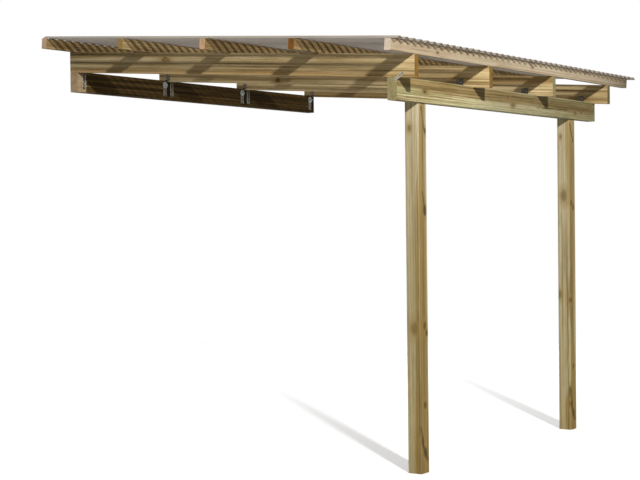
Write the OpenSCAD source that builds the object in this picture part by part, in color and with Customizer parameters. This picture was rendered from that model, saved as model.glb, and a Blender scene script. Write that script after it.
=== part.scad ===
// Lean-to pergola: timber frame on two front posts, with a corrugated sheet roof.
// X runs along the front beam, Y from the front to the wall, Z up.
// The origin is on the wall side of the wall plate, in the middle of that face.
// Millimetres.

/* [Posts] */
// Side of the square posts
post_size = 100; // [80:1:120]
// Distance between the middles of the two posts
post_spacing = 2190; // [1600:10:2600]
// Height of the underside of the front beam above the ground
head_height = 2370; // [2000:10:2700]
// Depth of the notch in each post that the beam sits in
post_notch = 55; // [40:1:65]
// Arris taken off the long edges of the posts
post_arris = 4; // [1:0.5:8]

/* [Front beam and wall plate] */
// Thickness of the front beam
beam_t = 70; // [60:1:100]
// Height of the front beam
beam_h = 145; // [120:1:200]
// Thickness of the wall plate
plate_t = 70; // [60:1:100]
// Height of the wall plate
plate_h = 145; // [120:1:200]
// Distance from the front of the beam to the wall
roof_depth = 2770; // [2000:10:3500]
// Distance from the left end of the front beam to the left post
beam_left = 270; // [200:1:400]

/* [Rafters] */
// Thickness of a rafter
rafter_t = 45; // [38:1:60]
// Height of a rafter, square to its length
rafter_h = 145; // [120:1:200]
// Distance between the middles of neighbouring rafters
rafter_spacing = 950; // [700:10:1000]
// Length of the rafter tails in front of the beam
rafter_tail = 130; // [80:1:300]
// Slope of the roof, in degrees
roof_pitch = 4; // [2:0.5:10]
// Depth of the seats over the plate and the beam, at the back of each seat
seat_cut = 2; // [1:1:20]

/* [Purlins] */
// Thickness of a purlin along the slope
purlin_t = 45; // [38:1:60]
// Height of a purlin
purlin_h = 70; // [45:1:95]
// Length of the purlins past the outer rafters on the left
purlin_left = 275; // [150:1:400]
// Length of the purlins past the outer rafters on the right
purlin_right = 320; // [150:1:400]

/* [Roof sheets] */
// Distance from one crest of the sheet to the next
wave_pitch = 81; // [60:1:130]
// Depth of the waves, from crest to valley
wave_depth = 18; // [12:1:40]
// Thickness of a sheet
sheet_t = 1.4; // [1:0.1:3]
// Length of the sheets past the front purlin
sheet_front = 40; // [10:1:100]
// Width of the roof past the right ends of the purlins
sheet_right = 90; // [0:1:150]
// Waves that one sheet shares with the next
lap_waves = 1; // [1:1:2]

/* [Metalwork] */
// Thickness of the rafter anchors
anchor_t = 2; // [1.5:0.5:4]
// Width of the flanges of a rafter anchor at the wall
anchor_w = 34; // [28:1:40]
// Width of the upright flange of a rafter anchor at the front beam
beam_anchor_w = 55; // [34:1:60]
// Length of a rafter anchor
anchor_h = 170; // [140:1:200]
// Width of the strap across the ends of the beam and the first rafter
strap_w = 22; // [16:1:30]
// Diameter of the wall bolts
bolt_d = 12; // [8:1:16]
// Diameter of the washers under the wall bolts
washer_d = 50; // [30:1:60]

/* [Hidden] */
$fn = 48;

rafter_count = 4;
purlin_count = 5;
sheet_count = 4;
timber_arris = 2.5;     // planed off the long edges of beam, plate, rafters and purlins
bearing_gap = 0.3;      // between the sheets and the purlins
cut = 1;                // how far a cutting shape runs past a face

// Frame, seen along X: the roof falls towards the front, which is -Y
pitch_rise = tan(roof_pitch);
roof_w = (rafter_count - 1) * rafter_spacing + rafter_t;
roof_left = -roof_w / 2;
plate_top = plate_h / 2;
beam_back = -roof_depth + beam_t;
beam_top = plate_top + beam_back * pitch_rise;
beam_under = beam_top - beam_h;
ground = beam_under - head_height;
post_front = -roof_depth + beam_t - post_notch;
post_back = post_front + post_size;

// The left post stands in from the end of the beam, and the right post follows it
post_left_x = roof_left + beam_left + post_size / 2;
post_right_x = post_left_x + post_spacing;

// Rafters: y is negative towards the front
rafter_front = -roof_depth - rafter_tail;
rafter_plumb_h = rafter_h / cos(roof_pitch);
function rafter_under(y) = plate_top - seat_cut + y * pitch_rise;
function rafter_over(y) = rafter_under(y) + rafter_plumb_h;
function rafter_x(i) = roof_left + (i - 1) * rafter_spacing;

// Along the slope, s runs from the wall down to the front
slope_l = -rafter_front / cos(roof_pitch);
purlin_step = (slope_l - purlin_t) / (purlin_count - 1);
purlin_left_x = roof_left - purlin_left;
purlin_l = purlin_left + roof_w + purlin_right;

// Metalwork
anchor_up = 48;         // of an anchor's length, above the top of the plate
beam_anchor_up = 56;    // and above the top of the beam
anchor_slant = 8;       // how far the flanges taper at the fold
anchor_corner = 6;      // clipped off the outer corners
strap_front = 42;       // middle of the strap's upper end, in front of the beam
strap_back = 18;        // middle of its lower end, behind the front of the beam
strap_up = 16;          // its upper end above the top of the beam
strap_down = 24;        // its lower end below the top of the beam
washer_t = 3;
bolt_clearance = 1;
bolt_head_d = 1.8 * bolt_d;
bolt_head_h = 0.65 * bolt_d;
bolt_stub = 12;         // the bolt's end, past its nut
wall_bolt_z = plate_top - anchor_slant - washer_d / 2 - 2;

// Roof sheets
wave_steps = 12;
roof_waves = round((purlin_l + sheet_right) / wave_pitch);
sheet_waves = ceil((roof_waves + (sheet_count - 1) * lap_waves) / sheet_count);
sheet_l = slope_l + sheet_front;

// A bar along X with its long edges planed off, standing on z = 0 behind y = 0
module bar(l, t, h, arris = timber_arris) {
    translate([l, 0, 0])
        rotate([0, -90, 0])
            linear_extrude(l)
                planed_section(h, t, arris);
}

// A rectangle from the origin with its corners clipped
module planed_section(a, b, arris) {
    polygon([
        [arris, 0], [a - arris, 0], [a, arris], [a, b - arris],
        [a - arris, b], [arris, b], [0, b - arris], [0, arris]
    ]);
}

// Puts its children on the rafters' top faces, s down the slope from the wall
module on_slope(s) {
    translate([0, 0, rafter_over(0)])
        rotate([roof_pitch, 0, 0])
            translate([0, -s, 0])
                children();
}

// Post, notched at the top so that the beam rests on it and against its tongue
module post(x) {
    color("burlywood")
        difference() {
            translate([x - post_size / 2, post_front, ground])
                linear_extrude(beam_top - ground)
                    planed_section(post_size, post_size, post_arris);
            translate([x - post_size / 2 - cut, post_front - cut, beam_under])
                cube([post_size + 2 * cut, post_notch + cut, beam_h + cut]);
        }
}

module front_beam() {
    color("tan")
        translate([roof_left, -roof_depth, beam_under])
            bar(roof_w, beam_t, beam_h);
}

module wall_plate() {
    color("sienna")
        difference() {
            translate([roof_left, -plate_t, -plate_h / 2])
                bar(roof_w, plate_t, plate_h);
            for (i = [2 : rafter_count])
                wall_bolt_hole(i);
        }
}

// Rafter with level seats over the plate and the beam, and plumb ends
module rafter(i) {
    color("burlywood")
        intersection() {
            translate([rafter_x(i), 0, 0])
                rotate([90, 0, 90])
                    linear_extrude(rafter_t)
                        polygon([
                            [0, plate_top],
                            [-plate_t, plate_top],
                            [-plate_t, rafter_under(-plate_t)],
                            [beam_back, rafter_under(beam_back)],
                            [beam_back, beam_top],
                            [-roof_depth, beam_top],
                            [-roof_depth, rafter_under(-roof_depth)],
                            [rafter_front, rafter_under(rafter_front)],
                            [rafter_front, rafter_over(rafter_front)],
                            [0, rafter_over(0)]
                        ]);
            on_slope(slope_l + rafter_h)
                translate([rafter_x(i), slope_l + 2 * rafter_h, 0])
                    rotate([90, 0, 0])
                        linear_extrude(slope_l + 3 * rafter_h)
                            translate([0, -rafter_h])
                                planed_section(rafter_t, rafter_h, timber_arris);
        }
}

// Purlin on edge across the rafters, square to the slope
module purlin(i) {
    color("wheat")
        on_slope((i - 1) * purlin_step + purlin_t)
            translate([purlin_left_x, 0, 0])
                bar(purlin_l, purlin_t, purlin_h);
}

// Height of the sheet's underside over the purlins at step k of the roof's waves
function wave_z(k) = wave_depth / 2 * (1 - cos(360 * k / wave_steps));
// A sheet's left edge lies on its neighbour over the lap, and then comes down
function lap_lift(k, first) = first == 0 ? 0
    : sheet_t * max(0, min(1, (first + (lap_waves + 1) * wave_steps - k) / wave_steps));
function sheet_z(k, first) = bearing_gap + wave_z(k) + lap_lift(k, first);

module roof_sheet(i) {
    first = (i - 1) * (sheet_waves - lap_waves) * wave_steps;
    last = min(first + sheet_waves * wave_steps, roof_waves * wave_steps);
    step_w = wave_pitch / wave_steps;
    under = [for (k = [first : last]) [k * step_w, sheet_z(k, first)]];
    over = [for (k = [last : -1 : first]) [k * step_w, sheet_z(k, first) + sheet_t]];
    color([0.55, 0.52, 0.5, 0.6])
        on_slope(sheet_l)
            translate([purlin_left_x, sheet_l, purlin_h])
                rotate([90, 0, 0])
                    linear_extrude(sheet_l)
                        polygon(concat(under, over));
}

// Folded anchor, with its fold upright in the corner between a rafter's left face
// (x = 0) and the face of the timber that carries it (y = 0). One flange goes up
// the rafter, the other down the timber, whose top is at z = 0.
module anchor(rafter_w, timber_w, up, down) {
    rotate([90, 0, -90])
        linear_extrude(anchor_t)
            polygon([
                [0, -anchor_slant], [rafter_w, 0], [rafter_w, up - anchor_corner],
                [rafter_w - anchor_corner, up], [0, up]
            ]);
    rotate([90, 0, 0])
        linear_extrude(anchor_t)
            polygon([
                [0, anchor_slant], [-timber_w, -anchor_slant],
                [-timber_w, -down + anchor_corner], [-timber_w + anchor_corner, -down],
                [0, -down]
            ]);
}

// Stands its children on the left or the right face of rafter i
module at_rafter(i, left) {
    translate([rafter_x(i) + (left ? 0 : rafter_t), 0, 0])
        mirror([left ? 0 : 1, 0, 0])
            children();
}

// Anchor on the front of the wall plate; the left ones are drilled for the wall bolts
module wall_anchor(i, left) {
    color("lightgray")
        difference() {
            at_rafter(i, left)
                translate([0, -plate_t, plate_top])
                    anchor(anchor_w, anchor_w, anchor_up, anchor_h - anchor_up);
            if (left)
                wall_bolt_hole(i);
        }
}

// Anchor on the back of the front beam
module beam_anchor(i, left) {
    color("lightgray")
        at_rafter(i, left)
            translate([0, beam_back, beam_top])
                mirror([0, 1, 0])
                    anchor(beam_anchor_w, anchor_w, beam_anchor_up, anchor_h - beam_anchor_up);
}

// Strap across the left end of the beam and the tail of rafter 1, which are flush
module corner_bracket() {
    color("lightgray")
        translate([roof_left, -roof_depth, beam_top])
            rotate([90, 0, -90])
                translate([-strap_back, -strap_down])
                    rotate(atan2(strap_up + strap_down, strap_front + strap_back))
                        linear_extrude(anchor_t)
                            rounded_strip(norm([strap_up + strap_down, strap_front + strap_back]));
}

module rounded_strip(l) {
    circle(d = strap_w);
    translate([0, -strap_w / 2])
        square([l, strap_w]);
    translate([l, 0])
        circle(d = strap_w);
}

// Bolts through the anchors and the plate into the wall
function wall_bolt_x(i) = rafter_x(i) - anchor_w / 2;

module wall_bolt_hole(i) {
    translate([wall_bolt_x(i), cut, wall_bolt_z])
        rotate([90, 0, 0])
            cylinder(d = bolt_d + bolt_clearance, h = plate_t + anchor_t + 2 * cut);
}

module wall_bolt(i) {
    washer_seat = plate_t + anchor_t;
    color("silver")
        translate([wall_bolt_x(i), 0, wall_bolt_z])
            rotate([90, 0, 0]) {
                cylinder(d = bolt_d, h = washer_seat + washer_t + bolt_head_h + bolt_stub);
                translate([0, 0, washer_seat])
                    cylinder(d = washer_d, h = washer_t);
                translate([0, 0, washer_seat + washer_t])
                    cylinder(d = bolt_head_d, h = bolt_head_h, $fn = 6);
            }
}

post(post_left_x);  // post_left
post(post_right_x);  // post_right
front_beam();
wall_plate();
rafter(1);  // rafter_1
rafter(2);  // rafter_2
rafter(3);  // rafter_3
rafter(4);  // rafter_4
purlin(1);  // purlin_1
purlin(2);  // purlin_2
purlin(3);  // purlin_3
purlin(4);  // purlin_4
purlin(5);  // purlin_5
roof_sheet(1);  // roof_sheet_1
roof_sheet(2);  // roof_sheet_2
roof_sheet(3);  // roof_sheet_3
roof_sheet(4);  // roof_sheet_4
wall_anchor(1, left = false);  // wall_anchor_1_right
wall_anchor(2, left = true);  // wall_anchor_2_left
wall_anchor(2, left = false);  // wall_anchor_2_right
wall_anchor(3, left = true);  // wall_anchor_3_left
wall_anchor(3, left = false);  // wall_anchor_3_right
wall_anchor(4, left = true);  // wall_anchor_4_left
beam_anchor(1, left = false);  // beam_anchor_1_right
beam_anchor(2, left = true);  // beam_anchor_2_left
beam_anchor(2, left = false);  // beam_anchor_2_right
beam_anchor(3, left = true);  // beam_anchor_3_left
beam_anchor(3, left = false);  // beam_anchor_3_right
beam_anchor(4, left = true);  // beam_anchor_4_left
corner_bracket();
wall_bolt(2);  // wall_bolt_2
wall_bolt(3);  // wall_bolt_3
wall_bolt(4);  // wall_bolt_4
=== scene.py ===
# Lean-to pergola: treated timber, zinc-plated fixings and a smoked corrugated roof
import bpy
import bmesh
import math
import random
from mathutils import Matrix, Vector


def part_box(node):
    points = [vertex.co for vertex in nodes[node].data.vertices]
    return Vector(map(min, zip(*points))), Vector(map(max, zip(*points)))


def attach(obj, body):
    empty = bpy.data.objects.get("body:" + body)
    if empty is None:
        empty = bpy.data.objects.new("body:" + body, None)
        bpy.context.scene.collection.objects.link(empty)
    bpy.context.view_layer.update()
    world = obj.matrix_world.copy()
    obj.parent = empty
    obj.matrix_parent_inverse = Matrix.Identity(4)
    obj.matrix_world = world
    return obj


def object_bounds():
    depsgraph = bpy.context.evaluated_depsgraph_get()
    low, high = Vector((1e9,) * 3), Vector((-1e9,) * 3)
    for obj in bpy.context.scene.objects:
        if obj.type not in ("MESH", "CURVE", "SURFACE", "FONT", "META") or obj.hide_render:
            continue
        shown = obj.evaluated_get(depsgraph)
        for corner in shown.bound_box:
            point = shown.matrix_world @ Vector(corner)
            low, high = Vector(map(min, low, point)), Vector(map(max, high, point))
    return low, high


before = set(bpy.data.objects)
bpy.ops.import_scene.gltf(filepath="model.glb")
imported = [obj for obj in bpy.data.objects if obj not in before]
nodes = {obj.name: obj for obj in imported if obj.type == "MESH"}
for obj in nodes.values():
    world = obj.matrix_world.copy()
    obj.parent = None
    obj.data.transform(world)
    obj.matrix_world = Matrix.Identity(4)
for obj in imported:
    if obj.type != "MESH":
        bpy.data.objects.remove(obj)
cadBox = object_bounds()
ground = cadBox[0].z
print("frame loaded:", len(nodes), "nodes")

scene = bpy.context.scene
scene.view_settings.view_transform = "Standard"

cameraView = {
    "place": (-9.1832, -7.6681, -0.9595),
    "heading": 57.893,     # degrees from +Y towards +X
    "tilt": -1.519,
    "roll": -0.5954,
    "lens": 83.12,
    "shift": (-0.1322, 0.0184),
}


def makeCamera(view):
    data = bpy.data.cameras.new("camera")
    data.lens = view["lens"]
    data.sensor_width = 36
    data.shift_x, data.shift_y = view["shift"]
    data.clip_end = 100
    cam = bpy.data.objects.new("camera", data)
    scene.collection.objects.link(cam)
    turn = (Matrix.Rotation(math.radians(-view["heading"]), 4, "Z")
            @ Matrix.Rotation(math.radians(90 + view["tilt"]), 4, "X")
            @ Matrix.Rotation(math.radians(view["roll"]), 4, "Z"))
    cam.matrix_world = Matrix.Translation(view["place"]) @ turn
    scene.camera = cam


makeCamera(cameraView)


class Graph:
    # a short way to write a material's nodes
    def __init__(self, name):
        self.material = bpy.data.materials.new(name)
        self.material.use_nodes = True
        self.tree = self.material.node_tree
        self.tree.nodes.clear()
        self.out = self.tree.nodes.new("ShaderNodeOutputMaterial")
        self.column = 0

    def add(self, kind, inputs=None, **settings):
        node = self.tree.nodes.new("ShaderNode" + kind)
        self.column += 1
        node.location = (self.column * 40 - 1600, (self.column % 7) * -160)
        for key, value in settings.items():
            setattr(node, key, value)
        for key, value in (inputs or {}).items():
            if isinstance(value, bpy.types.NodeSocket):
                self.tree.links.new(value, node.inputs[key])
            else:
                node.inputs[key].default_value = value
        return node

    def math(self, operation, a, b=0.0, clamp=False):
        return self.add("Math", {0: a, 1: b}, operation=operation, use_clamp=clamp).outputs[0]

    def vector(self, operation, a, b=(0, 0, 0)):
        node = self.add("VectorMath", {0: a, 1: b}, operation=operation)
        return node.outputs["Value" if operation in ("LENGTH", "DOT_PRODUCT") else "Vector"]

    def ramp(self, fac, stops):
        node = self.add("ValToRGB", {"Fac": fac})
        points = node.color_ramp.elements
        while len(points) < len(stops):
            points.new(0.5)
        for point, (place, colour) in zip(points, stops):
            point.position = place
            point.color = (*colour, 1)
        return node.outputs["Color"]

    def mix(self, fac, a, b, blend="MIX"):
        node = self.add("Mix", data_type="RGBA", blend_type=blend)
        for key, value in ((0, fac), (6, a), (7, b)):
            if isinstance(value, bpy.types.NodeSocket):
                self.tree.links.new(value, node.inputs[key])
            elif key == 0:
                node.inputs[key].default_value = value
            else:
                node.inputs[key].default_value = (*value, 1)
        return node.outputs[2]

    def remap(self, value, low, high, newLow=0.0, newHigh=1.0):
        return self.add("MapRange", {"Value": value, "From Min": low, "From Max": high,
                                     "To Min": newLow, "To Max": newHigh}).outputs[0]

    def wobble(self, value, pattern, amount):
        # lets a value stray with a pattern that runs about 0.5
        stray = self.math("MULTIPLY", self.math("SUBTRACT", pattern, 0.5), amount)
        return self.math("ADD", value, stray)

    def coords(self):
        return self.add("TexCoord").outputs["Object"]

    def mapped(self, vector, move=(0, 0, 0), turn=(0, 0, 0), scale=(1, 1, 1)):
        return self.add("Mapping", {"Vector": vector, "Location": move,
                                    "Rotation": turn, "Scale": scale}).outputs[0]

    def noise(self, vector, scale, detail, rough=0.55):
        return self.add("TexNoise", {"Vector": vector, "Scale": scale, "Detail": detail,
                                     "Roughness": rough}).outputs["Fac"]

    def finish(self, shader):
        self.tree.links.new(shader.outputs[0], self.out.inputs["Surface"])
        return self.material


# turns that lay each piece's grain along the X of its pattern
slope = math.radians(4)
quarter = math.radians(90)
alongX = (0, 0, 0)
alongZ = (0, quarter, 0)
alongPurlin = (-slope, 0, 0)
alongSlope = (-slope, 0, -quarter)

# pale, mid, dark: the wood's tones; heart: round the pith and the knots; end: sawn ends
# rings: width of a year's growth; contrast: how strong the grain shows; blot: scale of blotches
# pith: where the heart of the log lies, across and up from the middle of the section
# lean: how far the log's axis may lean, in degrees; rub: how pale the arrises are rubbed
# shade: how much lighter or darker the piece is painted from its start to its end, mostly painted
# light and shade
timberLooks = {
    "post": {
        "pale": (0.50, 0.435, 0.28), "mid": (0.385, 0.31, 0.165), "dark": (0.165, 0.11, 0.045),
        "heart": (0.275, 0.18, 0.052), "end": (0.36, 0.27, 0.14),
        "grain": alongZ, "section": (0.10, 0.10), "rings": 0.0085, "green": 0.12,
        # the pith lies just inside the front face: heartwood, and its browner heart there is also
        # painted shade on that side
        "pith": (-0.045, 0.012), "heartSize": 0.038,
        "contrast": 0.75, "lean": 0.8, "rub": 0.10, "blot": (1.6, 11, 11),
        # painted light and shade: darker towards the foot, paler and bluer towards the top
        "shade": ((0.0, (0.90, 0.88, 0.78)), (0.45, (0.95, 0.95, 0.90)),
                  (0.85, (1.12, 1.12, 1.16)), (1.0, (1.38, 1.42, 1.60))),
    },
    "beam": {
        "pale": (0.445, 0.405, 0.235), "mid": (0.295, 0.245, 0.118), "dark": (0.12, 0.082, 0.030),
        "heart": (0.24, 0.16, 0.06), "end": (0.35, 0.305, 0.14),
        "grain": alongX, "section": (0.07, 0.145), "rings": 0.010, "green": 0.30,
        "pith": (-0.07, 0.03), "heartSize": 0.05,
        "contrast": 1.35, "lean": 2.0, "rub": 0.30, "blot": (4.5, 22, 22),
        # painted light: paler over its left third
        "shade": ((0.0, 1.30), (0.08, 1.50), (0.24, 1.50), (0.45, 0.98), (0.7, 0.92), (1.0, 0.95)),
    },
    "plate": {
        "pale": (0.150, 0.090, 0.026), "mid": (0.062, 0.035, 0.0085), "dark": (0.020, 0.011, 0.003),
        "heart": (0.075, 0.038, 0.010), "end": (0.40, 0.295, 0.165),
        "grain": alongX, "section": (0.07, 0.145), "rings": 0.010, "green": 0.0,
        "pith": (0.01, 0.01), "heartSize": 0.03,
        "contrast": 0.85, "lean": 3.0, "rub": 0.15, "blot": (2.2, 9, 9),
        # painted shade: darker towards the left end
        "shade": ((0.0, 0.75), (0.35, 0.85), (1.0, 0.95)),
    },
    "rafter": {
        "pale": (0.72, 0.575, 0.32), "mid": (0.50, 0.365, 0.175), "dark": (0.215, 0.142, 0.055),
        "heart": (0.38, 0.235, 0.088), "end": (0.36, 0.25, 0.12),
        "grain": alongSlope, "section": (0.045, 0.145), "rings": 0.009, "green": 0.05,
        "pith": None, "heartSize": 0.05,
        "contrast": 1.0, "lean": 0.5, "rub": 0.15, "blot": (2.2, 9, 9),
        "shade": ((0.0, 1.0), (1.0, 1.0)),
    },
    "purlin": {
        "pale": (0.38, 0.27, 0.13), "mid": (0.255, 0.172, 0.074), "dark": (0.15, 0.092, 0.034),
        "heart": (0.32, 0.19, 0.085), "end": (0.63, 0.43, 0.255),
        "grain": alongPurlin, "section": (0.045, 0.070), "rings": 0.007, "green": 0.0,
        "pith": None, "heartSize": 0.03,
        "contrast": 0.85, "lean": 0.8, "rub": 0.30, "blot": (2.2, 9, 9),
        "shade": ((0.0, 1.0), (1.0, 1.0)),
    },
}
green = (0.235, 0.25, 0.105)            # what the treatment leaves in the sapwood
# the near black of the painted shadows
paintedShadowColour = (0.010, 0.007, 0.005)

# pieces that came from another log, or carry their own painted light and shade along them
pieceLooks = {
    "purlin_5": {"pale": (0.63, 0.52, 0.365), "mid": (0.485, 0.38, 0.245),
                 "dark": (0.25, 0.165, 0.082), "end": (0.80, 0.65, 0.50),
                 # darker towards its right end
                 "shade": ((0.0, 1.0), (0.78, 0.96), (0.92, 0.70), (1.0, 0.45))},
    "purlin_4": {"end": (0.21, 0.098, 0.018)},
    "purlin_2": {"end": (0.36, 0.237, 0.080)},
    "purlin_1": {"end": (0.58, 0.42, 0.28)},
    "rafter_1": {"end": (0.31, 0.165, 0.035),
                 # painted light: paler at the tail, darker towards the wall
                 "shade": ((0.0, 1.12), (0.35, 1.0), (0.7, 0.88), (1.0, 0.78))},
    # painted light: paler at its tail
    "rafter_2": {"end": (0.28, 0.174, 0.047), "shade": ((0.0, 1.25), (0.2, 1.05), (1.0, 1.0))},
    "rafter_3": {"end": (0.30, 0.30, 0.155)},
    "rafter_4": {"end": (0.20, 0.157, 0.062)},
}


def darker(colour, share):
    return tuple(c * share for c in colour)


def greys(stops):
    return [(at, (level,) * 3) for at, level in stops]


class Timber(Graph):
    # a piece cut from one solid log: rings round a pith, which the faces cut lengthwise
    # and the ends across
    def __init__(self, name, look, seed, marks):
        super().__init__(name)
        pick = random.Random(seed)
        lowest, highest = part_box(name)
        middle = (lowest + highest) / 2
        self.look = look
        self.marks = marks
        self.length = max(highest - lowest)
        self.place = self.coords()
        self.board = self.mapped(self.place, turn=look["grain"])        # X runs along the grain
        self.centred = self.mapped(self.vector("SUBTRACT", self.place, tuple(middle)),
                                   turn=look["grain"])
        self.along = self.add("SeparateXYZ", {0: self.centred}).outputs
        self.shift = tuple(pick.uniform(-9, 9) for _ in range(3))
        pith = look["pith"] or (pick.uniform(-0.07, 0.07),
                                pick.choice((-1, 1)) * pick.uniform(0.06, 0.11))
        lean = (0, *(math.radians(pick.uniform(-1, 1) * look["lean"]) for _ in range(2)))
        ringWidth = look["rings"] * pick.uniform(0.9, 1.25)

        log = self.mapped(self.mapped(self.centred, (0, -pith[0], -pith[1]), lean), scale=(0, 1, 1))
        wander = self.layer((0.8, 4, 4), rough=0.5)
        self.radius = self.wobble(self.vector("LENGTH", log), wander, 0.075)
        self.ringPlace = self.math("FRACT", self.math("DIVIDE", self.radius, ringWidth))
        self.ring = self.ramp(self.ringPlace, greys([(0.0, 0.30), (0.12, 0.0), (0.55, 0.25),
                                                     (0.90, 1.0), (1.0, 0.30)]))
        self.streak = self.layer((0.6, 75, 75))
        self.broad = self.layer((0.6, 16, 16))
        self.fibre = self.layer((9, 420, 420), rough=0.7)
        self.patch = self.layer(look["blot"], detail=4, rough=0.65)
        self.height = self.math("ADD", self.math("MULTIPLY", self.fibre, 0.6),
                                self.math("MULTIPLY", self.ring, 0.5))

    def layer(self, scale, detail=3, rough=0.6):
        return self.noise(self.mapped(self.board, self.shift, scale=scale), 1, detail, rough)

    def paint(self, fac, colour):
        self.colour = self.mix(fac, self.colour, colour)

    def awayFrom(self, spot, scale):
        away = self.vector("SUBTRACT", self.place, spot)
        return self.vector("LENGTH", self.mapped(away, scale=scale))

    def grain(self):
        look = self.look
        tone = self.math("MULTIPLY", self.ring, 0.26)
        for pattern, share in ((self.streak, 2.6), (self.broad, 1.5), (self.fibre, 1.0)):
            tone = self.wobble(tone, pattern, share * look["contrast"])
        self.tone = self.math("ADD", tone, 0.38)
        self.colour = self.ramp(self.tone, [(0.05, look["pale"]), (0.46, look["mid"]),
                                            (1.0, look["dark"])])
        size = look["heartSize"]
        self.paint(self.remap(self.radius, size * 1.2, size * 0.85, 0, 0.85),
                   self.mix(self.remap(self.tone, 0.3, 1.0), look["heart"], look["dark"]))
        if look["green"]:
            self.paint(self.remap(self.layer((0.9, 9, 9)), 0.48, 0.66, 0, look["green"]), green)
        self.paint(self.remap(self.patch, 0.52, 0.78, 0, 0.55), look["dark"])

    def brown(self):
        # where the saw ran into the heart
        for x, y, z, wide, tall in self.marks.get("brown", ()):
            reach = self.awayFrom((x, y, z), (1 / wide, 1 / wide, 1 / tall))
            reach = self.wobble(reach, self.broad, 1.2)
            wood = self.mix(self.remap(self.tone, 0.2, 0.9), self.look["heart"], self.look["dark"])
            self.paint(self.remap(reach, 1.1, 0.8, 0, 0.8), wood)

    def paintLightAndRub(self):
        look = self.look
        # painted light and shade along the piece, lighter or darker from its start to its end
        stops = []
        for at, amount in look["shade"]:
            amount = amount if isinstance(amount, tuple) else (amount,) * 3
            stops.append((at, tuple(c / 2 for c in amount)))        # halved, as a ramp ends at 1
        shade = self.ramp(self.remap(self.along[0], -self.length / 2, self.length / 2), stops)
        shade = self.mix(1.0, shade, (2.0, 2.0, 2.0), "MULTIPLY")
        self.colour = self.mix(1.0, self.colour, shade, "MULTIPLY")

        # rubbed arrises
        rim = self.math("MAXIMUM", *(self.math("SUBTRACT", size / 2, self.math("ABSOLUTE", across))
                                     for size, across in zip(look["section"], self.along[1:3])))
        rim = self.wobble(rim, self.patch, 0.02)
        self.paint(self.remap(rim, 0.009, 0.002, 0, look["rub"]), look["pale"])

    def knots(self):
        # a dark core and the grain that swells round it; a loose knot is a ring round a pale plug
        look = self.look
        for kindOf, strength in (("faintKnots", 0.45), ("knots", 0.85), ("looseKnots", 0.9)):
            for x, y, z, size in self.marks.get(kindOf, ()):
                away = self.mapped(self.vector("SUBTRACT", self.place, (x, y, z)),
                                   turn=look["grain"])
                away = self.mapped(away, scale=(0.6 / size, 1 / size, 1 / size))
                reach = self.wobble(self.vector("LENGTH", away), self.streak, 1.6)
                reach = self.wobble(reach, self.patch, 1.6)
                self.paint(self.remap(reach, 3.4, 1.1, 0, 0.6), look["heart"])
                self.paint(self.remap(reach, 1.5, 0.7, 0, strength), darker(look["dark"], 0.45))
                if kindOf == "looseKnots":
                    self.paint(self.remap(reach, 0.75, 0.35, 0, 0.8), look["heart"])
                self.height = self.math("ADD", self.height, self.remap(reach, 1.2, 0.7, 0, 0.8))

    def cracks(self):
        # drying cracks between two places on a face
        for start, end, width in self.marks.get("cracks", ()):
            start, run = Vector(start), Vector(end) - Vector(start)
            gone = self.vector("SUBTRACT", self.place, tuple(start))
            part = self.math("DIVIDE", self.vector("DOT_PRODUCT", gone, tuple(run)),
                             run.length_squared, clamp=True)
            near = self.add("VectorMath", {0: tuple(run), "Scale": part}, operation="SCALE")
            off = self.vector("LENGTH", self.vector("SUBTRACT", gone, near.outputs[0]))
            off = self.wobble(self.wobble(off, self.patch, 0.03), self.streak, 0.03)
            self.paint(self.remap(off, width * 2.5, width * 0.5, 0, 0.8),
                       darker(self.look["dark"], 0.45))
            self.height = self.math("SUBTRACT", self.height,
                                    self.remap(off, width * 1.5, width * 0.5, 0, 1.5))

    def paintedShadows(self):
        # painted shadows: near-black patches on the timber where shade falls
        for x, y, z, wide, tall in self.marks.get("paintedShadows", ()):
            reach = self.awayFrom((x, y, z), (1 / wide, 1 / wide, 1 / tall))
            reach = self.wobble(reach, self.patch, 0.8)
            self.paint(self.remap(reach, 1.1, 0.6, 0, 0.92), paintedShadowColour)

    def ends(self):
        # sawn ends: rings, saw marks and blotches
        end = self.look["end"]
        normal = self.mapped(self.add("TexCoord").outputs["Normal"], turn=self.look["grain"])
        facing = self.add("SeparateXYZ", {0: normal})
        onEnd = self.remap(self.math("ABSOLUTE", facing.outputs[0]), 0.8, 0.95)
        # painted sunlight: the front face near the left end takes the pale colour of the sawn end
        if "paintedSunlight" in self.marks:
            edge = self.wobble(self.along[0], self.streak, 0.05)
            paintedSunlight = self.marks["paintedSunlight"] - self.length / 2
            onEnd = self.math("MAXIMUM", onEnd, self.remap(edge, paintedSunlight, paintedSunlight - 0.008))
        endRing = self.ramp(self.ringPlace, greys([(0.0, 0.75), (0.55, 1.0), (0.92, 0.60),
                                                   (1.0, 0.75)]))
        saw = self.layer((60, 180, 26))
        blotch = self.layer((20, 28, 28))
        cut = self.mix(1.0, end, endRing, "MULTIPLY")
        cut = self.mix(self.remap(saw, 0.35, 0.75, 0, 0.35), cut, darker(end, 0.55))
        cut = self.mix(self.remap(blotch, 0.45, 0.68, 0, 0.6), cut, darker(end, 0.42))
        redder = tuple(c * share for c, share in zip(end, (1.0, 0.74, 0.62)))
        cut = self.mix(self.remap(self.patch, 0.50, 0.62, 0, 0.6), cut, redder)
        self.paint(onEnd, cut)

    def make(self):
        for step in (self.grain, self.brown, self.paintLightAndRub, self.knots, self.cracks,
                     self.paintedShadows, self.ends):
            step()
        bump = self.add("Bump", {"Height": self.height, "Strength": 0.4, "Distance": 0.0012})
        rough = self.remap(self.math("ADD", self.fibre, self.patch), 0.6, 1.4, 0.68, 0.9)
        return self.finish(self.add("BsdfPrincipled", {
            "Base Color": self.colour, "Roughness": rough,
            "Normal": bump.outputs[0], "Specular IOR Level": 0.12}))


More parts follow.
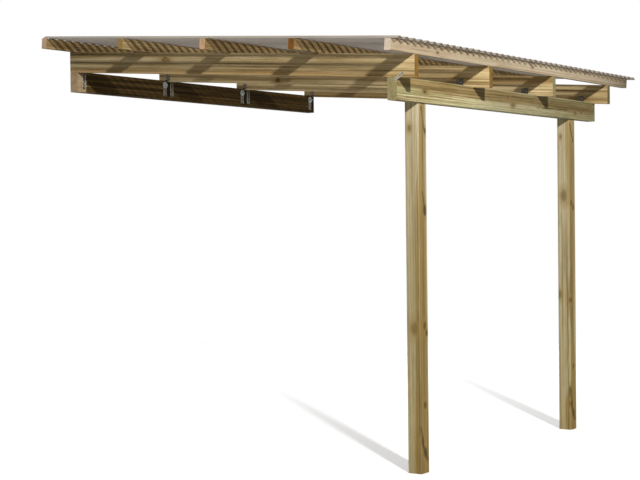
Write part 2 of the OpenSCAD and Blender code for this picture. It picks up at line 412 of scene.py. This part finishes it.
def dress(node, material):
    slots = nodes[node].material_slots
    if not slots:
        nodes[node].data.materials.append(material)
    for slot in slots:
        slot.material = material


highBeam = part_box("front_beam")[1]
lowPlate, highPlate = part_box("wall_plate")
lowRafter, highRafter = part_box("rafter_1")
rafters = range(1, 5)
purlins = range(1, 6)
rafterSpacing = 0.95
rafterHalf = 0.0225                     # half the thickness of a rafter
purlinHalf = 0.0225


def onFront(low, spots):
    # places on a piece's front face, given across and up from its lowest corner
    return [(low.x + across, low.y, low.z + up, *sizes) for across, up, *sizes in spots]


def onLeft(low, spots):
    return [(low.x, low.y + across, low.z + up, *sizes) for across, up, *sizes in spots]


def splits(low, runs):
    # cracks in a front face, from (across, up) to (across, up)
    return [((low.x + start[0], low.y, low.z + start[1]),
             (low.x + end[0], low.y, low.z + end[1]), width) for start, end, width in runs]


# knots have the size of their core, cracks half their width, painted shadows half their width and
# height
def beamMarks(low):
    return {
        "knots": onFront(low, [(0.329, 0.068, 0.006), (2.645, 0.054, 0.006)]),
        "faintKnots": onFront(low, [(0.335, 0.080, 0.013), (1.456, 0.105, 0.010),
                                    (1.530, 0.053, 0.014), (2.539, 0.048, 0.012)]),
        "cracks": splits(low, [((1.9, 0.055), (2.4, 0.063), 0.0015)]),
    }


def leftPostMarks(low):
    return {
        "faintKnots": onLeft(low, [(0.064, 2.210, 0.010), (0.045, 0.930, 0.022)]),
        "knots": onFront(low, [(0.082, 2.192, 0.010), (0.066, 1.688, 0.016), (0.055, 0.945, 0.018),
                               (0.080, 0.900, 0.012), (0.051, 0.438, 0.012), (0.020, 0.205, 0.016),
                               (0.048, 0.135, 0.017)]),
        "brown": onFront(low, [(0, 0.12, 0.045, 0.20), (0, 0.60, 0.020, 0.30)]),
        "cracks": splits(low, [((0, 0.30), (0.03, 0.17), 0.006),
                               ((0.03, 0.17), (0.075, 0.09), 0.008),
                               ((0.045, 1.80), (0.075, 1.66), 0.005),
                               ((0.04, 2.34), (0.07, 2.20), 0.006)]),
    }


def rightPostMarks(low):
    return {
        "faintKnots": onLeft(low, [(0.070, 2.238, 0.008), (0.047, 1.789, 0.020),
                                   (0.087, 1.037, 0.014)]),
        "knots": onFront(low, [(0.064, 2.212, 0.008), (0.030, 1.732, 0.014), (0.063, 1.700, 0.012),
                               (0.015, 0.993, 0.014), (0.049, 0.484, 0.010), (0.018, 0.20, 0.016),
                               (0.045, 0.125, 0.017)]),
        "brown": onFront(low, [(0, 0.12, 0.045, 0.22), (0.02, 1.0, 0.030, 0.25)]),
        "cracks": splits(low, [((0, 0.32), (0.03, 0.16), 0.006),
                               ((0.03, 0.16), (0.06, 0.08), 0.008),
                               ((0.015, 2.33), (0.05, 2.24), 0.005)]),
    }


# painted shadows on the plate's front face: under rafters 2 to 4 between the anchors, and under
# rafter 1 at the plate's top
underRafterShade = {"down": 0.060, "wide": 0.052, "tall": 0.075}
shadesUnderRafters = [(lowRafter.x + rafterSpacing * number + rafterHalf, lowPlate.y,
               highPlate.z - underRafterShade["down"], underRafterShade["wide"], underRafterShade["tall"])
              for number in rafters[:-1]]
shadeUnderFirstRafter = (lowPlate.x + 0.040, lowPlate.y, highPlate.z - 0.002, 0.040, 0.022)
timberMarks = {
    "front_beam": beamMarks(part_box("front_beam")[0]),
    "post_left": leftPostMarks(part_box("post_left")[0]),
    "post_right": rightPostMarks(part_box("post_right")[0]),
    "rafter_1": {"looseKnots": [(lowRafter.x, highRafter.y - 0.893, 0.106, 0.015),
                                (lowRafter.x, highRafter.y - 0.925, 0.099, 0.005)]},
    "rafter_2": {"knots": [(lowRafter.x + rafterSpacing, highRafter.y - 1.1415, 0.0185, 0.012)]},
    "purlin_5": {"knots": onFront(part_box("purlin_5")[0], [(0.55, 0.03, 0.006),
                                                          (1.85, 0.04, 0.007)])},
    "wall_plate": {"paintedSunlight": 0.090,       # painted sunlight, pale near its left end
                   "paintedShadows": [*shadesUnderRafters, shadeUnderFirstRafter]},
}
kinds = {"post": "post", "front": "beam", "wall_plate": "plate", "rafter": "rafter",
         "purlin": "purlin"}            # by the start of a piece's name

for number, name in enumerate(sorted(nodes)):
    kind = next((kinds[start] for start in kinds if name.startswith(start)), None)
    if kind:
        look = {**timberLooks[kind], **pieceLooks.get(name, {})}
        dress(name, Timber(name, look, 40 + number, timberMarks.get(name, {})).make())
print("timber dressed")

# thin and thick: the lower side under a thin and a thick film of dust, painted pale for light
# shining through; topThin, topThick: the top side; drip: the grime at the lower edge, from and to
# above it
# solid: how much it hides where it is met squarely; aslant: where it starts and ends to hide all
# rough: from clean to dusty; gloss: how strongly it mirrors
sheetLook = {
    "thin": (0.56, 0.51, 0.45), "thick": (0.67, 0.61, 0.545),
    "topThin": (0.30, 0.255, 0.205), "topThick": (0.42, 0.365, 0.305),
    "grime": (0.42, 0.36, 0.29), "drip": (0.20, 0.05),
    "solid": (0.20, 0.28), "aslant": (0.34, 0.48), "hides": 0.97,
    "rough": (0.38, 0.58), "gloss": 0.08,
}


def sheetMaterial(look):
    # smoked plastic: see-through, with a thin film of dust that the rain draws down the slope
    g = Graph("smoked_sheet")
    place = g.coords()
    dirtAndShade = g.noise(g.mapped(place, scale=(2.5, 0.8, 2.5)), 1, 4, 0.55)
    runs = g.noise(g.mapped(place, scale=(60, 0.35, 60)), 1, 3, 0.55)
    film = g.remap(g.math("ADD", dirtAndShade, runs), 0.75, 1.25)
    colour = g.mix(film, look["thin"], look["thick"])
    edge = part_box("roof_sheet_1")[0].y
    along = g.add("SeparateXYZ", {0: place}).outputs[1]
    drip = g.remap(g.math("ADD", along, g.math("MULTIPLY", runs, 0.06)),
                   edge + look["drip"][0], edge + look["drip"][1], 0, 0.75)
    colour = g.mix(drip, colour, look["grime"])
    # the lower side is painted paler than the top, standing in for light that shines through the
    # sheet
    upward = g.add("SeparateXYZ", {0: g.add("TexCoord").outputs["Normal"]}).outputs[2]
    topSide = g.mix(film, look["topThin"], look["topThick"])    # the weather side is dirtier
    colour = g.mix(g.remap(upward, -0.1, 0.1), colour, topSide)
    bump = g.add("Bump", {"Height": g.noise(place, 70, 2), "Strength": 0.04, "Distance": 0.0005})
    facing = g.add("LayerWeight", {"Blend": 0.5}).outputs["Facing"]
    aslant = g.remap(facing, *look["aslant"], 0, look["hides"])
    shader = g.add("BsdfPrincipled", {
        "Base Color": colour, "Roughness": g.remap(film, 0, 1, *look["rough"]),
        "Alpha": g.math("MAXIMUM", g.remap(film, 0, 1, *look["solid"]), aslant), "IOR": 1.49,
        "Specular IOR Level": look["gloss"], "Normal": bump.outputs[0]})
    return g.finish(shader)


metalLooks = {
    # the anchors' zinc is darkened with painted shade, the beam anchors' most; the wall anchors' is
    # also weathered
    "wallAnchor": {"colour": (0.36, 0.32, 0.24), "rough": 0.50, "metal": 0.35},
    "beamAnchor": {"colour": (0.125, 0.11, 0.085), "rough": 0.55, "metal": 0.4},
    "strap": {"colour": (0.40, 0.35, 0.26), "rough": 0.50, "metal": 0.35},
    "bolt": {"colour": (0.46, 0.48, 0.47), "rough": 0.40, "metal": 0.6},
    "nail": {"colour": (0.42, 0.40, 0.35), "rough": 0.45, "metal": 0.6},
}
zincBloom = (0.80, 0.80, 0.78)          # the white crust on weathered zinc
# rust on the anchors, also used for their painted shade above the fold
rustAndShade = (0.030, 0.022, 0.014)


def zincMaterial(name, look, rustedAndShaded=None):
    g = Graph(name)
    colour, rough = look["colour"], look["rough"]
    place = g.coords()
    spangle = g.add("TexVoronoi", {"Vector": place, "Scale": 160.0, "Randomness": 1.0})
    grey = g.add("SeparateColor", {0: spangle.outputs["Color"]}).outputs[0]
    cloud = g.noise(place, 45, 4, 0.6)
    tone = g.mix(g.remap(grey, 0, 1, 0, 0.5), colour, darker(colour, 0.72))
    tone = g.mix(g.remap(cloud, 0.55, 0.8, 0, 0.35), tone, zincBloom)
    if rustedAndShaded:
        # rust and dirt run down the middle of the anchor; above its fold, under the rafter, the
        # dark is painted shade
        low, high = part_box(rustedAndShaded)
        across, _, up = g.add("SeparateXYZ", {0: place}).outputs
        off = g.math("ABSOLUTE", g.math("SUBTRACT", across, (low.x + high.x) / 2))
        dirtAndShade = g.remap(g.wobble(off, cloud, 0.02), 0.013, 0.007, 0, 0.9)
        dirtAndShade = g.math("MAXIMUM", dirtAndShade, g.remap(up, high.z - 0.078, high.z - 0.058, 0, 0.85))
        tone = g.mix(dirtAndShade, tone, rustAndShade)
    bump = g.add("Bump", {"Height": cloud, "Strength": 0.15, "Distance": 0.0004})
    shader = g.add("BsdfPrincipled", {"Base Color": tone, "Metallic": look["metal"],
                                      "Roughness": g.remap(grey, 0, 1, rough, rough + 0.16),
                                      "Normal": bump.outputs[0]})
    return g.finish(shader)


smokedSheet = sheetMaterial(sheetLook)
# the beam anchors and strap screws: zinc darkened with painted shade
shadedZinc = zincMaterial("dark_zinc", metalLooks["beamAnchor"])
zincBolt = zincMaterial("zinc_bolt", metalLooks["bolt"])
nailSteel = zincMaterial("nail_steel", metalLooks["nail"])
for name in nodes:
    if name.startswith("roof_sheet"):
        dress(name, smokedSheet)
    elif name.startswith("wall_anchor"):
        dress(name, zincMaterial(name + "_zinc", metalLooks["wallAnchor"], name))
    elif name == "corner_bracket":
        dress(name, zincMaterial("strap_zinc", metalLooks["strap"]))
    elif name.startswith("beam_anchor"):
        dress(name, shadedZinc)
    elif name.startswith("wall_bolt"):
        dress(name, zincBolt)
print("sheet and metal dressed")


def keep(mesh, name, material):
    bmesh.ops.recalc_face_normals(mesh, faces=mesh.faces)
    data = bpy.data.meshes.new(name)
    mesh.to_mesh(data)
    mesh.free()
    for face in data.polygons:
        face.use_smooth = True
    data.materials.append(material)
    piece = bpy.data.objects.new(name, data)
    scene.collection.objects.link(piece)
    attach(piece, "root")


def turnedHead(mesh, profile, place, outward, steps):
    # a small round head, spun from its half profile of (radius, height) steps
    points = [mesh.verts.new((r, 0, h)) for r, h in profile]
    edges = [mesh.edges.new(pair) for pair in zip(points, points[1:])]
    bmesh.ops.spin(mesh, geom=points + edges, angle=math.tau, steps=steps,
                   axis=(0, 0, 1), cent=(0, 0, 0), use_merge=True)
    found = set(points)
    grow = list(points)
    while grow:
        for edge in grow.pop().link_edges:
            for vert in edge.verts:
                if vert not in found:
                    found.add(vert)
                    grow.append(vert)
    turn = Vector(outward).to_track_quat("Z", "Y").to_matrix().to_4x4()
    bmesh.ops.transform(mesh, matrix=Matrix.Translation(place) @ turn, verts=list(found))


upSlope = Vector((0, -math.sin(slope), math.cos(slope)))        # square to the roof
downSlope = Vector((0, -math.cos(slope), -math.sin(slope)))


def purlinMiddle(low, high):
    # the middle of a purlin, and half its height square to the slope
    tall, deep = high.z - low.z, high.y - low.y
    rise = math.tan(slope)
    half = (tall - deep * rise) / 2 / (math.cos(slope) - math.sin(slope) * rise)
    return (low + high) / 2, half


def roofFixings():
    # screws with domed caps, through the crests into each purlin
    fixing = {"pitch": 0.081, "every": 3, "crest": 0.0197, "skirt": 0.013, "cap": 0.0085,
              "tall": 0.0065, "fromEnd": 0.03}
    mesh = bmesh.new()
    profile = [(0, fixing["tall"]), (fixing["cap"] * 0.55, fixing["tall"] * 0.9),
               (fixing["cap"] * 0.9, fixing["tall"] * 0.55), (fixing["cap"], 0.0022),
               (fixing["skirt"], 0.0016), (fixing["skirt"], -0.0012), (0, -0.0012)]
    sheetLow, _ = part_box("roof_sheet_1")
    for number in purlins:
        low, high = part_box(f"purlin_{number}")
        middle, half = purlinMiddle(low, high)
        wave = 0
        x = sheetLow.x + fixing["pitch"] / 2
        while x < high.x - fixing["fromEnd"]:
            if wave % fixing["every"] == 1:
                place = Vector((x, middle.y, middle.z)) + upSlope * (half + fixing["crest"])
                turnedHead(mesh, profile, place, upSlope, 10)
            wave += 1
            x += fixing["pitch"]
    keep(mesh, "roof_fixings", zincBolt)


def anchorNails():
    # ringed nails through both flanges of every anchor; each row has its part of the
    # flange's width and how far it lies above or below the top of the timber
    nail = {"radius": 0.0042, "tall": 0.0016, "sunk": -0.0006, "plate": 0.002,
            "rafterRows": ((0.30, 0.012), (0.72, 0.020), (0.30, 0.032), (0.72, 0.040)),
            "timberRows": ((0.35, 0.070), (0.70, 0.082), (0.35, 0.096), (0.70, 0.106))}
    stands = {"wall": 0.048, "beam": 0.056}     # how far the anchors stand over their timber
    mesh = bmesh.new()
    head = nail["radius"]
    profile = [(0, nail["tall"]), (head * 0.7, nail["tall"] * 0.85), (head, 0.0004),
               (head, nail["sunk"]), (0, nail["sunk"])]
    for name in sorted(nodes):
        if "anchor" not in name:
            continue
        low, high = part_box(name)
        atWall = name.startswith("wall")
        side = -1 if name.endswith("left") else 1
        rafterFace = high.x if side < 0 else low.x
        timberTop = high.z - stands["wall" if atWall else "beam"]
        deep = high.y - low.y
        for part, up in nail["rafterRows"]:
            y = high.y - deep * part if atWall else low.y + deep * part
            place = (rafterFace + side * nail["plate"], y, timberTop + up)
            turnedHead(mesh, profile, place, (side, 0, 0), 8)
        face, outward = (lowPlate.y, -1) if atWall else (highBeam.y, 1)
        for part, down in nail["timberRows"]:
            x = rafterFace + side * (high.x - low.x) * part
            place = (x, face + outward * nail["plate"], timberTop - down)
            turnedHead(mesh, profile, place, (0, outward, 0), 8)
    keep(mesh, "anchor_nails", nailSteel)


def strapScrews():
    screw = {"radius": 0.0048, "tall": 0.0024, "inset": 0.011, "parts": (0.0, 0.30, 1.0)}
    mesh = bmesh.new()
    low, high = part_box("corner_bracket")
    profile = [(0, screw["tall"]), (0.003, 0.0021), (screw["radius"], 0.0006),
               (screw["radius"], -0.0006), (0, -0.0006)]
    start = Vector((low.x, low.y + screw["inset"], high.z - screw["inset"]))
    end = Vector((low.x, high.y - screw["inset"], low.z + screw["inset"]))
    for part in screw["parts"]:
        turnedHead(mesh, profile, start.lerp(end, part), (-1, 0, 0), 10)
    keep(mesh, "strap_screws", shadedZinc)


def purlinScrews():
    # slanted screws through each purlin's front face into the rafters
    screw = {"radius": 0.0042, "tall": 0.0008, "aside": 0.011, "below": 0.012}
    mesh = bmesh.new()
    profile = [(0, screw["tall"]), (0.0036, 0.0006), (screw["radius"], -0.0008), (0, -0.0008)]
    for number in purlins:
        low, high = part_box(f"purlin_{number}")
        middle = (low + high) / 2
        for rafter in rafters:
            rafterLow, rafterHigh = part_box(f"rafter_{rafter}")
            x = (rafterLow.x + rafterHigh.x) / 2
            for aside in (-screw["aside"], screw["aside"]):
                place = Vector((x + aside, middle.y, middle.z)) + downSlope * purlinHalf
                turnedHead(mesh, profile, place + upSlope * -screw["below"], downSlope, 8)
    keep(mesh, "purlin_screws", nailSteel)


roofFixings()
anchorNails()
strapScrews()
purlinScrews()
print("fixings made")


def makeFloor():
    # a pale disc that fades out to the white round it
    disc = {"radius": 9.0, "sunk": 0.0005, "middle": (0, -1.4, ground), "fade": (3.5, 8.5),
            "seen": (0.93, 0.93, 0.93), "throws": (0.50, 0.50, 0.50), "glow": 0.30}
    low, high = cadBox
    place = ((low.x + high.x) / 2, (low.y + high.y) / 2, ground - disc["sunk"])
    mesh = bmesh.new()
    bmesh.ops.create_circle(mesh, cap_ends=True, segments=96, radius=disc["radius"],
                            matrix=Matrix.Translation(place))
    data = bpy.data.meshes.new("floor")
    mesh.to_mesh(data)
    mesh.free()
    floor = bpy.data.objects.new("floor", data)
    scene.collection.objects.link(floor)
    g = Graph("floor")
    away = g.vector("LENGTH", g.vector("SUBTRACT", g.coords(), disc["middle"]))
    seen = g.add("LightPath").outputs["Is Camera Ray"]
    lit = g.add("BsdfDiffuse", {"Color": g.mix(seen, disc["throws"], disc["seen"])})
    glow = g.add("Emission", {"Color": (1, 1, 1, 1),
                              "Strength": g.math("MULTIPLY", seen, disc["glow"])})
    lit = g.add("AddShader", {0: lit.outputs[0], 1: glow.outputs[0]})
    clear = g.add("BsdfTransparent")
    fade = g.math("MULTIPLY", g.remap(away, *disc["fade"]), seen)
    mixed = g.add("MixShader", {0: fade, 1: lit.outputs[0], 2: clear.outputs[0]})
    data.materials.append(g.finish(mixed))


def makeWorld():
    # white where it is seen, mirrored or seen through, and a soft light elsewhere
    world = bpy.data.worlds.new("studio")
    scene.world = world
    world.use_nodes = True
    tree = world.node_tree
    tree.nodes.clear()
    out = tree.nodes.new("ShaderNodeOutputWorld")
    path = tree.nodes.new("ShaderNodeLightPath")
    mixed = tree.nodes.new("ShaderNodeMixShader")
    seen = path.outputs["Is Camera Ray"]
    for kind in ("Is Glossy Ray", "Is Transmission Ray"):
        either = tree.nodes.new("ShaderNodeMath")
        either.operation = "MAXIMUM"
        tree.links.new(seen, either.inputs[0])
        tree.links.new(path.outputs[kind], either.inputs[1])
        seen = either.outputs[0]
    tree.links.new(seen, mixed.inputs[0])
    for socket, strength in ((1, 0.14), (2, 1.0)):
        light = tree.nodes.new("ShaderNodeBackground")
        light.inputs["Color"].default_value = (1, 1, 1, 1)
        light.inputs["Strength"].default_value = strength
        tree.links.new(light.outputs[0], mixed.inputs[socket])
    tree.links.new(mixed.outputs[0], out.inputs["Surface"])


lamps = {
    "key": {"place": (-12.6, -15.5, 7.0), "target": (0, -1.6, -0.5), "size": 1.0, "power": 4500},
    "fill": {"place": (9.0, 1.0, 3.0), "target": (0, -1.6, -1.0), "size": 4.0, "power": 380},
    "back": {"place": (1.0, 8.5, 3.0), "target": (0, -1.6, -1.0), "size": 4.0, "power": 450},
}


def makeLamp(name, place, target, size, power):
    data = bpy.data.lights.new(name, "AREA")
    data.shape = "DISK"
    data.size = size
    data.energy = power
    lamp = bpy.data.objects.new(name, data)
    lamp.location = place
    lamp.rotation_euler = (Vector(target) - Vector(place)).to_track_quat("-Z", "Y").to_euler()
    lamp.visible_glossy = name == "key"         # the others only soften the shadows
    scene.collection.objects.link(lamp)


makeFloor()
makeWorld()
for name, lamp in lamps.items():
    makeLamp(name, **lamp)
print("stage lit")
